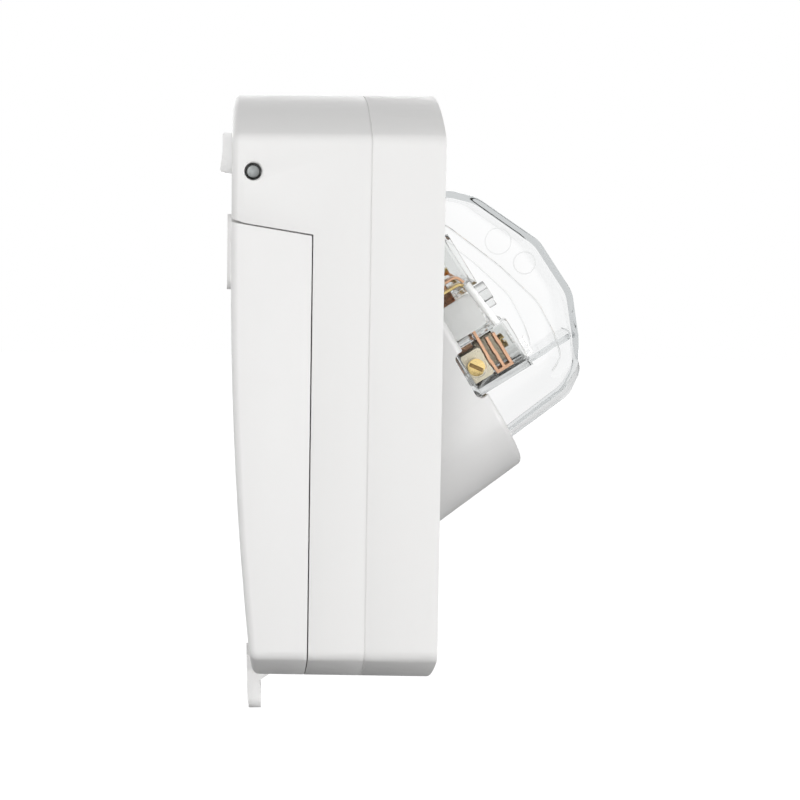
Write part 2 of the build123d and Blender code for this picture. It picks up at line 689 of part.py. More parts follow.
with BuildPart() as rocker_pivot:
    with BuildSketch(Plane.YZ) as pivot_section:
        with Locations((rocker_y, rocker_z)):
            Circle(0.8)
    extrude(amount=11, both=True)
rocker_pivot.part.label = "rocker_pivot"

plunger_plane = Plane(origin=rocker_plane.origin, x_dir=(1, 0, 0), z_dir=rocker_plane.x_dir)
with BuildPart() as rocker_spring:
    with BuildSketch(plunger_plane.offset(1.6)) as spring_section:
        Circle(1.0)
        Circle(0.5, mode=Mode.SUBTRACT)
    extrude(amount=1.8)
rocker_spring.part.label = "rocker_spring"

with BuildPart() as plunger:
    with BuildSketch(plunger_plane.offset(3.4)) as plunger_section:
        Circle(1.0)
    extrude(amount=3.0)
    fillet(plunger.edges().filter_by(GeomType.CIRCLE).sort_by(Axis.Y)[-1:], 0.9)
plunger.part.label = "plunger"

contact_y = rocker_y + 8.4
contact_plane = Plane(origin=(0, contact_y, rocker_z), x_dir=(0, cos(rest), sin(rest)), z_dir=(1, 0, 0))
with BuildPart() as moving_contact:
    with BuildSketch(contact_plane) as seesaw:
        with Locations((0, 0)):
            Rectangle(0.8, 10.4)
        with Locations((0.8, 4.2)):
            Rectangle(0.8, 1.8)
    extrude(amount=2.5, both=True)
moving_contact.part.label = "moving_contact"

with BuildPart() as fixed_contacts:
    with BuildSketch(Plane.YZ) as contact_posts:
        with Locations((contact_y + 2.7, rocker_z + 4.2)):
            Rectangle(1.6, 1.8)
    extrude(amount=2.5, both=True)
fixed_contacts.part.label = "fixed_contacts"

# ---------------------------------------------------------------- bars from switch to socket
bar_height = 50.5
bar_end = socket_plane.origin + bar_level * Vector(*axis_dir) + 8.0 * rim_dir
bar_rise = (bar_height - bar_end.Z) / rim_dir.Z
bar_bend = bar_end + bar_rise * rim_dir
with BuildPart() as link_bars:
    for side in (-1, 1):
        with BuildSketch(Plane.YZ.offset(side * bar_x)) as bar_section:
            with BuildLine():
                FilletPolyline((-30.0, bar_height), (bar_bend.Y, bar_height), (bar_end.Y, bar_end.Z), radius=3)
            trace(line_width=bar_thick)
        extrude(amount=bar_width / 2, both=True)
link_bars.part.label = "link_bars"

pieces = [back_frame, cover_gasket, wall_gasket, front_cover, lid, hinge_pin_right, hinge_pin_left, cover_screws,
          recess_housing, recess_seal, socket_face, socket_seal, terminal_base, base_screws, active_contact,
          neutral_contact, earth_contact, terminal_blocks, terminal_screws, terminal_cover, switch_body, rocker,
          rocker_pivot, rocker_spring, plunger, moving_contact, fixed_contacts, link_bars]
os.makedirs("parts", exist_ok=True)
for piece in pieces:
    export_step(piece.part, f"parts/{piece.part.label}.step")
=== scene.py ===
import logging
import math
from dataclasses import dataclass
from enum import Enum
from typing import Sequence

import bmesh
import bpy
import numpy as np
from mathutils import Matrix, Vector


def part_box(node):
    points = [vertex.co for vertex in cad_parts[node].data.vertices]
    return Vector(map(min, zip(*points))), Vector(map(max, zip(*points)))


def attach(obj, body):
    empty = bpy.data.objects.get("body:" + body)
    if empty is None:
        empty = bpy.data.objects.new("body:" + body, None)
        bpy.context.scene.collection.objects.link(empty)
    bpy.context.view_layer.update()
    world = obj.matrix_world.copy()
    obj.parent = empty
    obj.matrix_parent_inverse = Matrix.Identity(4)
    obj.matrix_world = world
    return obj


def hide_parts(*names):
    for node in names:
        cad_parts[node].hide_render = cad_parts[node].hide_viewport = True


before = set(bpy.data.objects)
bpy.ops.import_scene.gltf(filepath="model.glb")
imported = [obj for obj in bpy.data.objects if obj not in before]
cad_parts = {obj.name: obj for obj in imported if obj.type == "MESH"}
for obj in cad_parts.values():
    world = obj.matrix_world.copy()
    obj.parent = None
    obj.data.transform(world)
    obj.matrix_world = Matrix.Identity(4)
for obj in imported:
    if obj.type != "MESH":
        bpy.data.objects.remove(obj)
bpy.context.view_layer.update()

log = logging.getLogger("outlet")
MM = 0.001
Colour = tuple[float, float, float]
Vec = tuple[float, float, float]
Pair = tuple[float, float]

NOISE_SPAN = (0.3, 0.7)     # most noise values lie between these
CREASE_DEG = 28.0           # on a copy of a CAD node, an edge sharper than this is rounded
SMOOTH_DEG = 35.0           # on a new surface, an edge sharper than this stays sharp


# ------------------------------------------------------------------ node helpers
class Nodes:
    """A material's node tree, with short calls for the nodes that the finishes share."""

    def __init__(self, name: str) -> None:
        """Start a new material with one Principled shader.

        Args:
            name: the material's name.
        """
        self.material = bpy.data.materials.new(name)
        self.material.use_nodes = True
        self.tree = self.material.node_tree
        self.shader = self.tree.nodes["Principled BSDF"]
        self.place = self.add("ShaderNodeTexCoord").outputs["Object"]

    def add(self, kind: str, **settings: object) -> bpy.types.Node:
        """Add a node and set its properties.

        Args:
            kind: the node's type name.
            settings: properties of the node by name.

        Returns:
            The new node.
        """
        node = self.tree.nodes.new(kind)
        for key, value in settings.items():
            setattr(node, key, value)
        return node

    def link(self, source: bpy.types.NodeSocket, target: bpy.types.NodeSocket) -> None:
        """Join an output to an input."""
        self.tree.links.new(source, target)

    def noise(self, scale: float, detail: float = 2.0,
              stretch: Vec = (1, 1, 1)) -> bpy.types.NodeSocket:
        """Noise on Object coordinates.

        Args:
            scale: features per metre.
            detail: octaves of the noise.
            stretch: scale along each axis, for drawn or brushed grain.

        Returns:
            The noise value's socket.
        """
        mapping = self.add("ShaderNodeMapping")
        mapping.inputs["Scale"].default_value = stretch
        self.link(self.place, mapping.inputs["Vector"])
        noise = self.add("ShaderNodeTexNoise")
        noise.inputs["Scale"].default_value = scale
        noise.inputs["Detail"].default_value = detail
        self.link(mapping.outputs["Vector"], noise.inputs["Vector"])
        return noise.outputs["Fac"]

    def spread(self, value: bpy.types.NodeSocket, low: float, high: float) -> bpy.types.NodeSocket:
        """Map a noise value to the span from low to high.

        Args:
            value: a socket with values round one half.
            low: what the darkest noise becomes.
            high: what the lightest noise becomes.

        Returns:
            The mapped value's socket.
        """
        span = self.add("ShaderNodeMapRange")
        span.inputs["From Min"].default_value, span.inputs["From Max"].default_value = NOISE_SPAN
        span.inputs["To Min"].default_value, span.inputs["To Max"].default_value = low, high
        self.link(value, span.inputs["Value"])
        return span.outputs["Result"]

    def bump(self, height: bpy.types.NodeSocket, depth: float, strength: float = 1.0) -> None:
        """Give the shader a bump.

        Args:
            height: the socket with the height, from 0 to 1.
            depth: height of the bumps in metres.
            strength: how much of it shows.
        """
        bump = self.add("ShaderNodeBump")
        bump.inputs["Distance"].default_value = depth
        bump.inputs["Strength"].default_value = strength
        self.link(height, bump.inputs["Height"])
        self.link(bump.outputs["Normal"], self.shader.inputs["Normal"])

    def set(self, **values: object) -> None:
        """Set the shader's own sockets, with underscores in place of spaces."""
        for key, value in values.items():
            self.shader.inputs[key.replace("_", " ")].default_value = value


# ------------------------------------------------------------------ finishes
@dataclass(frozen=True)
class MouldedPlastic:
    """Opaque injection-moulded plastic with the fine grain that a tool leaves."""

    name: str
    colour: Colour
    roughness: float = 0.42
    wear: float = 0.05
    wear_per_m: float = 320.0
    grain_per_m: float = 2600.0
    grain_depth: float = 0.00002
    grain_strength: float = 0.5

    def material(self) -> bpy.types.Material:
        """Make the finish's material.

        Returns:
            The material, with the finish on its shader.
        """
        nodes = Nodes(self.name)
        worn = nodes.noise(self.wear_per_m, 4)
        rough = nodes.spread(worn, self.roughness - self.wear, self.roughness + self.wear)
        nodes.link(rough, nodes.shader.inputs["Roughness"])
        nodes.bump(nodes.noise(self.grain_per_m, 2), self.grain_depth, self.grain_strength)
        nodes.set(Base_Color=(*self.colour, 1), IOR=1.5)
        return nodes.material


@dataclass(frozen=True)
class ClearPlastic:
    """Clear plastic that takes up a little light on its way through, so that long paths turn grey."""

    name: str
    colour: Colour
    clear_roughness: float
    frosted_roughness: float
    ior: float
    absorbs_per_m: float
    patches_per_m: float
    keeps: Colour = (0.34, 0.38, 0.39)
    flow_per_m: float = 90.0
    flow_depth: float = 0.00004
    flow_strength: float = 0.35

    def material(self) -> bpy.types.Material:
        """Make the finish's material.

        Returns:
            The material, with the finish on its shader.
        """
        nodes = Nodes(self.name)
        patches = nodes.noise(self.patches_per_m, 2)
        rough = nodes.spread(patches, self.clear_roughness, self.frosted_roughness)
        nodes.link(rough, nodes.shader.inputs["Roughness"])
        nodes.bump(nodes.noise(self.flow_per_m, 2), self.flow_depth, self.flow_strength)
        nodes.set(Transmission_Weight=1.0, IOR=self.ior, Base_Color=(*self.colour, 1))
        inside = nodes.add("ShaderNodeVolumeAbsorption")
        inside.inputs["Color"].default_value = (*self.keeps, 1)
        inside.inputs["Density"].default_value = self.absorbs_per_m
        nodes.link(inside.outputs["Volume"], nodes.tree.nodes["Material Output"].inputs["Volume"])
        return nodes.material


@dataclass(frozen=True)
class MilkyPlastic:
    """Frosted plastic that scatters most of the light that enters it."""

    name: str
    colour: Colour = (0.931, 0.931, 0.922)
    through: float = 0.25
    roughness: float = 0.6
    grain_per_m: float = 1500.0
    grain_depth: float = 0.00003
    grain_strength: float = 0.5

    def material(self) -> bpy.types.Material:
        """Make the finish's material.

        Returns:
            The material, with the finish on its shader.
        """
        nodes = Nodes(self.name)
        nodes.bump(nodes.noise(self.grain_per_m, 2), self.grain_depth, self.grain_strength)
        nodes.set(Base_Color=(*self.colour, 1), Transmission_Weight=self.through,
                  Roughness=self.roughness, IOR=1.46)
        return nodes.material


@dataclass(frozen=True)
class BareMetal:
    """Bare metal with drawn or turned grain."""

    name: str
    colour: Colour
    roughness: float = 0.28
    grain: Vec = (1, 1, 1)
    grain_per_m: float = 1500.0
    grain_depth: float = 0.00002
    grain_strength: float = 0.4
    smoother: float = 0.08
    rougher: float = 0.1

    def material(self) -> bpy.types.Material:
        """Make the finish's material.

        Returns:
            The material, with the finish on its shader.
        """
        nodes = Nodes(self.name)
        grain = nodes.noise(self.grain_per_m, 3, self.grain)
        rough = nodes.spread(grain, self.roughness - self.smoother, self.roughness + self.rougher)
        nodes.link(rough, nodes.shader.inputs["Roughness"])
        nodes.bump(grain, self.grain_depth, self.grain_strength)
        nodes.set(Base_Color=(*self.colour, 1), Metallic=1.0)
        return nodes.material


@dataclass(frozen=True)
class Rubber:
    """Soft black rubber with a fine grain."""

    name: str
    colour: Colour = (0.022, 0.022, 0.023)
    roughness: float = 0.75
    grain_per_m: float = 1800.0
    grain_depth: float = 0.00003
    grain_strength: float = 0.5

    def material(self) -> bpy.types.Material:
        """Make the finish's material.

        Returns:
            The material, with the finish on its shader.
        """
        nodes = Nodes(self.name)
        nodes.bump(nodes.noise(self.grain_per_m, 2), self.grain_depth, self.grain_strength)
        nodes.set(Base_Color=(*self.colour, 1), Roughness=self.roughness)
        return nodes.material


class Finish(Enum):
    """Every finish on the outlet."""

    CASE = MouldedPlastic("case_white_finish", (0.874, 0.869, 0.860))
    LID = MouldedPlastic("lid_white_finish", (0.874, 0.869, 0.862))
    # the case's white plastic, glossier, and whiter to paint the stronger front light that falls on the
    # rocker
    ROCKER_PAINTED_LIGHT = MouldedPlastic("rocker_painted_light_finish", (0.939, 0.939, 0.934), roughness=0.25,
                            grain_depth=0.000008)
    HOUSING = MouldedPlastic("housing_white_finish", (0.869, 0.865, 0.858), roughness=0.36)
    FACE = MouldedPlastic("face_white_finish", (0.850, 0.850, 0.840), roughness=0.33)
    SWITCH = MouldedPlastic("switch_plastic_finish", (0.543, 0.543, 0.534), roughness=0.5)
    CLEAR_COVER = ClearPlastic("clear_cover_finish", (1.0, 1.0, 1.0), 0.0, 0.02, ior=1.035,
                               absorbs_per_m=22.0, patches_per_m=60.0)
    CLEAR_BASE = ClearPlastic("clear_base_finish", (0.90, 0.905, 0.90), 0.02, 0.11, ior=1.15,
                              absorbs_per_m=9.0, patches_per_m=120.0)
    FROSTED = MilkyPlastic("frosted_base")
    COPPER = BareMetal("copper_finish", (0.93, 0.55, 0.36), 0.26, (1, 6, 6))
    BRASS = BareMetal("brass_finish", (0.86, 0.65, 0.29), 0.2)
    PLATED = BareMetal("plated_brass_finish", (0.80, 0.73, 0.58), 0.32)
    # dark brown for the slabs that sit in the screw slots: painted shade in the slots
    SLOT_SHADE = BareMetal("painted_slot_shade_finish", (0.30, 0.20, 0.09), 0.45)
    # steel darkened far below the steel finish: the dark colour paints the shade on the pin ends, which
    # sit sunk in their holes
    PIN_PAINTED_SHADE = BareMetal("pin_painted_shade_finish", (0.23, 0.24, 0.24), 0.42)
    STEEL = BareMetal("steel_finish", (0.56, 0.55, 0.54), 0.3, (8, 1, 1))
    SEAL = Rubber("seal_rubber_finish")

    def make(self) -> bpy.types.Material:
        """Make this finish's material, or find it where it was made before.

        Returns:
            The material.
        """
        if self not in made:
            made[self] = self.value.material()
        return made[self]


made: dict[Finish, bpy.types.Material] = {}


# ------------------------------------------------------------------ mesh helpers
def dress(item: bpy.types.Object, finish: Finish) -> bpy.types.Object:
    """Give an object one finish on all its faces.

    Args:
        item: the mesh object.
        finish: the finish that it takes.

    Returns:
        The same object.
    """
    if item.material_slots:
        for place in item.material_slots:
            place.material = finish.make()
    else:
        item.data.materials.append(finish.make())
    return item


def dress_nodes(finish: Finish, *names: str) -> None:
    """Give CAD nodes a finish.

    Args:
        finish: the finish.
        names: the nodes' names.
    """
    for name in names:
        dress(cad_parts[name], finish)


def smooth_copy(node: str, name: str, round_by: float, finish: Finish, body: str) -> bpy.types.Object:
    """A copy of a CAD node with its triangles merged, its sharp edges rounded and its curves smooth.

    Args:
        node: the CAD node that the copy stands for.
        name: the new piece's name.
        round_by: width of the rounding along sharp edges, in metres.
        finish: what it is made of.
        body: the CAD body that it rides on.

    Returns:
        The new object, in the node's place.
    """
    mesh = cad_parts[node].data.copy()
    mesh.name = name
    merged = bmesh.new()
    merged.from_mesh(mesh)
    bmesh.ops.remove_doubles(merged, verts=merged.verts, dist=1e-6)
    bmesh.ops.dissolve_limit(merged, angle_limit=math.radians(0.5), verts=merged.verts,
                             edges=merged.edges)
    merged.to_mesh(mesh)
    merged.free()
    mesh.materials.clear()
    mesh.polygons.foreach_set("use_smooth", np.ones(len(mesh.polygons), bool))
    item = bpy.data.objects.new(name, mesh)
    bpy.context.scene.collection.objects.link(item)
    bevel = item.modifiers.new("rounded edges", "BEVEL")
    bevel.width = round_by
    bevel.segments = 3
    bevel.limit_method = "ANGLE"
    bevel.angle_limit = math.radians(CREASE_DEG)
    bevel.use_clamp_overlap = True
    bevel.harden_normals = True
    dress(item, finish)
    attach(item, body)
    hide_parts(node)
    return item


# ------------------------------------------------------------------ surfaces
def unit(vectors: np.ndarray) -> np.ndarray:
    """The vectors at length one, along the last axis."""
    return vectors / np.maximum(np.linalg.norm(vectors, axis=-1, keepdims=True), 1e-12)


@dataclass(frozen=True)
class Place:
    """A right-handed frame, in millimetres, that a surface is worked out in."""

    origin: Vec
    x: Vec
    z: Vec

    def out(self, points: np.ndarray) -> np.ndarray:
        """Points of the frame as points of the outlet, in metres: origin + x a + y b + z c."""
        x, z = unit(np.array(self.x, float)), unit(np.array(self.z, float))
        return (np.array(self.origin) + points @ np.array([x, np.cross(z, x), z])) * MM


def socket_place(tilt_deg: float, y: float, z: float) -> Place:
    """The frame of the socket: x to the right, y down along the rim, z along the plug's axis.

    Args:
        tilt_deg: how far the axis leans up at the back.
        y: Y of the frame's origin in millimetres.
        z: Z of the frame's origin in millimetres.

    Returns:
        The frame.
    """
    tilt = math.radians(tilt_deg)
    return Place((0, y, z), (1, 0, 0), (0, math.cos(tilt), math.sin(tilt)))


SOCKET = socket_place(32.3, 2.1, 17.5)


def in_socket(x: float, depth: float, height: float) -> Vec:
    """A point of the outlet in millimetres, from its x, depth along the axis and height up the rim."""
    return tuple(SOCKET.out(np.array([x, -height, depth], float)) / MM)


class Shell:
    """A mesh made up of closed surfaces, each from a grid of points."""

    def __init__(self) -> None:
        """Start with no surface."""
        self.points: list[np.ndarray] = []
        self.faces: list[np.ndarray] = []
        self.count = 0

    def grid(self, points: np.ndarray, wrap_rows: bool = False, wrap_columns: bool = False) -> "Shell":
        """Add one grid of quads.

        Args:
            points: array of rows by columns by 3, in metres.
            wrap_rows: the last row joins the first.
            wrap_columns: the last column joins the first.

        Returns:
            The shell itself.
        """
        rows, columns = points.shape[:2]
        index = self.count + np.arange(rows * columns).reshape(rows, columns)
        if wrap_rows:
            index = np.vstack([index, index[:1]])
        if wrap_columns:
            index = np.hstack([index, index[:, :1]])
        corners = (index[:-1, :-1], index[1:, :-1], index[1:, 1:], index[:-1, 1:])
        self.faces.append(np.stack([corner.ravel() for corner in corners], axis=1))
        self.points.append(points.reshape(-1, 3))
        self.count += rows * columns
        return self

    def piece(self, name: str, finish: Finish, body: str, slot: str,
              stands_for: Sequence[str] = ()) -> bpy.types.Object:
        """Weld the surfaces into one object that rides on a body.

        Args:
            name: the object's name.
            finish: what it is made of.
            body: the CAD body that it rides on.
            slot: the record's material slot; not used.
            stands_for: the CAD nodes that it replaces.

        Returns:
            The new object.
        """
        mesh = bpy.data.meshes.new(name)
        mesh.from_pydata(np.vstack(self.points).tolist(), [], np.vstack(self.faces).tolist())
        welded = bmesh.new()
        welded.from_mesh(mesh)
        bmesh.ops.remove_doubles(welded, verts=welded.verts, dist=2e-7)
        bmesh.ops.dissolve_degenerate(welded, edges=welded.edges, dist=1e-8)
        bmesh.ops.recalc_face_normals(welded, faces=welded.faces)
        welded.to_mesh(mesh)
        welded.free()
        mesh.polygons.foreach_set("use_smooth", np.ones(len(mesh.polygons), bool))
        mesh.set_sharp_from_angle(angle=math.radians(SMOOTH_DEG))
        item = bpy.data.objects.new(name, mesh)
        bpy.context.scene.collection.objects.link(item)
        dress(item, finish)
        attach(item, body)
        if stands_for:
            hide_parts(*stands_for)
        return item


def cut(item: bpy.types.Object, way: Shell) -> None:
    """Cut a closed surface out of an object's mesh.

    Args:
        item: the object.
        way: the surface of what is taken away.
    """
    tool = way.piece("cutting_tool", Finish.STEEL, "case", "steel")
    modifier = item.modifiers.new("cut", "BOOLEAN")
    modifier.operation = "DIFFERENCE"
    modifier.object = tool
    ready = item.evaluated_get(bpy.context.evaluated_depsgraph_get())
    whole, mesh = item.data, bpy.data.meshes.new_from_object(ready)
    item.modifiers.clear()
    item.data = mesh
    bpy.data.meshes.remove(whole)
    bpy.data.objects.remove(tool)


def turned(place: Place, profile: Sequence[Pair], steps: int = 64) -> np.ndarray:
    """A turned shape: each point of the profile, at a radius and height, goes round the frame's z axis.

    Args:
        place: the frame, whose z is the axis.
        profile: (radius, height) in millimetres.
        steps: points round the axis.

    Returns:
        A grid of profile by angle; its columns wrap.
    """
    radius, height = np.array(profile, float).T[:, :, None]
    angle = np.linspace(0, 2 * math.pi, steps, endpoint=False)[None]
    points = np.stack([radius * np.cos(angle), radius * np.sin(angle), height + 0 * angle], axis=-1)
    return place.out(points)


def ring_profile(radius: float, half_width: float, rise: float, sunk: float = 0.05) -> list[Pair]:
    """The profile of a raised ring: a half ellipse over the radius, closed below the surface.

    Args:
        radius: radius of the ring's middle line.
        half_width: half the ring's width.
        rise: its height above the surface.
        sunk: how far below the surface it closes.

    Returns:
        (radius, height) along the profile.
    """
    turn = np.linspace(0, math.pi, 7)
    bow = [(radius + half_width * math.cos(a), rise * math.sin(a)) for a in turn]
    return bow + [(radius - half_width, -sunk), (radius + half_width, -sunk), bow[0]]


def slotted_head(place: Place, radius: float, height: float, dome: float, slot: Pair) -> np.ndarray:
    """A screw head with one driver slot.

    Rows run across the slot at even sines, with more rows at the slot's walls. Along a row the
    point goes from the middle of the underside out to the rim, up the side, over the domed top
    and down the other side. The top is the dome less the slot's depth between the slot's walls.

    Args:
        place: frame with its origin at the middle of the underside, x along the slot.
        radius: radius of the head in millimetres.
        height: height of the side.
        dome: rise of the middle above the side.
        slot: width and depth of the slot.

    Returns:
        A grid of rows by columns.
    """
    width, depth = slot
    edge = width / 2
    walls = [-edge - 0.04, -edge - 0.01, -edge + 0.01, edge - 0.01, edge + 0.01, edge + 0.04]
    quarter = math.pi / 2
    rows = np.unique(np.concatenate([radius * np.sin(np.linspace(-quarter, quarter, 41)), walls]))
    # even rows that fall too close to a wall's own rows are left out
    rows = rows[(np.abs(rows) > edge + 0.005) | np.isin(rows, walls) | (np.abs(rows) < edge - 0.02)]
    half = np.sqrt(np.maximum(radius**2 - rows**2, 0))[:, None]
    across = np.sin(np.linspace(-quarter, quarter, 33))[None]
    x, y = half * across, rows[:, None]
    top = height + dome * (1 - (x**2 + y**2) / radius**2) - depth * (np.abs(y) < edge)
    low = np.zeros_like(half)
    rim = np.minimum(height * 0.5, top[:, :1])
    sides = ((low, low), (-half, low), (-half, rim), (x, top), (half, rim), (half, low), (low, low))
    columns = [np.stack([a, rows[:, None] + 0 * a, b], axis=-1) for a, b in sides]
    return place.out(np.concatenate(columns, axis=1))


def slab(place: Place, size: Vec, power: float = 0.2) -> np.ndarray:
    """A box with rounded edges, worked out as a sphere whose sines and cosines are raised to a power.

    A point at the angles a and b lies at half the size times the cosine of a, times the cosine or
    sine of b, each to the power, and at half the size times the sine of a to the power.

    Args:
        place: the frame, with its origin at the middle.
        size: size along the frame's axes in millimetres.
        power: 1 leaves it round, and less makes it squarer.

    Returns:
        A grid of rings from pole to pole; its columns wrap.
    """
    turn = np.linspace(0, 2 * math.pi, 64, endpoint=False)[None]
    rise = np.linspace(-math.pi / 2, math.pi / 2, 25)[:, None]

    def squared(values: np.ndarray) -> np.ndarray:
        """The values raised to the power, with their signs."""
        return np.sign(values) * np.abs(values) ** power

    girth = squared(np.cos(rise))
    girth[[0, -1]] = 0.0
    parts = (squared(np.sin(rise)) + 0 * turn, girth * squared(np.cos(turn)),
             girth * squared(np.sin(turn)))
    return place.out(np.stack(parts, axis=-1) * np.array(size) / 2)


def between(first: np.ndarray, last: np.ndarray, count: int) -> np.ndarray:
    """Points at even steps on the straight line from one point to another."""
    return first + (last - first) * np.linspace(0, 1, count)[:, None]


def bent_line(corners: Sequence | np.ndarray, radius: float, steps: int = 7, lead: float = 0.0,
              longest: float = 0.44) -> np.ndarray:
    """A line through corners, each rounded by a quadratic curve that starts this far before the corner.

    The corners may be points, or whole outlines with equal numbers of points. An outline's
    points then each follow their own line.

    Args:
        corners: points or outlines in millimetres.
        radius: how far from each corner its curve starts and ends, less where a side is short.
        steps: points on each curve.
        lead: one more point before and after each curve, this share of the radius away.
        longest: the share of a side that a curve takes at most.

    Returns:
        The points or outlines, along the first axis.
    """
    spots = np.array(corners, float)
    parts = [spots[:1]]
    share = np.linspace(0, 1, steps).reshape(-1, *[1] * (spots.ndim - 1))
    for before, corner, after in zip(spots[:-2], spots[1:-1], spots[2:]):
        sides = np.stack([before - corner, after - corner])
        reach = np.minimum(radius, longest * np.linalg.norm(sides, axis=-1, keepdims=True).min(axis=0))
        back, on = unit(sides) * reach
        start, end = corner + back, corner + on
        curve = (1 - share) ** 2 * start + 2 * share * (1 - share) * corner + share**2 * end
        if lead:
            curve = np.concatenate([(start + lead * back)[None], curve, (end + lead * on)[None]])
        parts.append(curve)
    return np.concatenate(parts + [spots[-1:]])


def strip(place: Place, line: np.ndarray, thickness: float, width: float,
          edge: float = 0.12) -> np.ndarray:
    """A bent metal strip: its line goes in the frame's x and z, and its width along y.

    The outline runs along one side of the line, half the thickness away from it, and back along
    the other. It is drawn in a little at the two edges, and closes on the line itself.

    Args:
        place: the frame.
        line: points of the line, n by 2.
        thickness: thickness of the metal.
        width: width of the strip.
        edge: rounding of the long edges.

    Returns:
        A grid of stations by outline; its columns wrap.
    """
    ahead = unit(np.gradient(line, axis=0))
    side = np.stack([-ahead[:, 1], ahead[:, 0]], axis=1)
    half = width / 2
    stations = [(-half, 0.0), (-half, thickness / 2 - edge), (-half + edge, thickness / 2),
                (half - edge, thickness / 2), (half, thickness / 2 - edge), (half, 0.0)]
    outlines = []
    for y, reach in stations:
        loop = np.vstack([line + side * reach, (line - side * reach)[::-1]])
        outlines.append(np.stack([loop[:, 0], np.full(len(loop), y), loop[:, 1]], axis=1))
    return place.out(np.stack(outlines))


ASKEW = (0.31, 0.05, 0.95)  # a direction that no wire here follows


def tube(path: np.ndarray, radius: float, around: int = 10) -> np.ndarray:
    """A round wire along a path: a circle square to the path at every point, closed at both ends.

    Args:
        path: points of the path in millimetres, n by 3.
        radius: radius of the wire.
        around: points round the wire.

    Returns:
        A grid of path by circle, in metres; its columns wrap.
    """
    ahead = unit(np.gradient(path, axis=0))
    side = unit(np.cross(ahead, ASKEW))
    over = np.cross(ahead, side)
    angle = np.linspace(0, 2 * math.pi, around, endpoint=False)[None, :, None]
    size = np.full(len(path) + 2, radius)
    size[[0, -1]] = 0.0
    repeat = np.concatenate([[0], np.arange(len(path)), [len(path) - 1]])
    circle = side[repeat][:, None] * np.cos(angle) + over[repeat][:, None] * np.sin(angle)
    return (path[repeat][:, None] + circle * size[:, None, None]) * MM


# ------------------------------------------------------------------ stage, light and camera
@dataclass
class Lamp:
    """One soft area lamp, which clear pieces don't show."""

    name: str
    place: Vec
    size: float
    power: float

    def build(self) -> None:
        """Hang the lamp so that it faces the outlet."""
        lamp = bpy.data.lights.new(self.name, "AREA")
        lamp.size = self.size
        lamp.energy = self.power
        holder = bpy.data.objects.new(self.name, lamp)
        holder.location = self.place
        holder.rotation_euler = (-Vector(self.place)).to_track_quat("-Z", "Y").to_euler()
        holder.visible_transmission = False
        bpy.context.scene.collection.objects.link(holder)


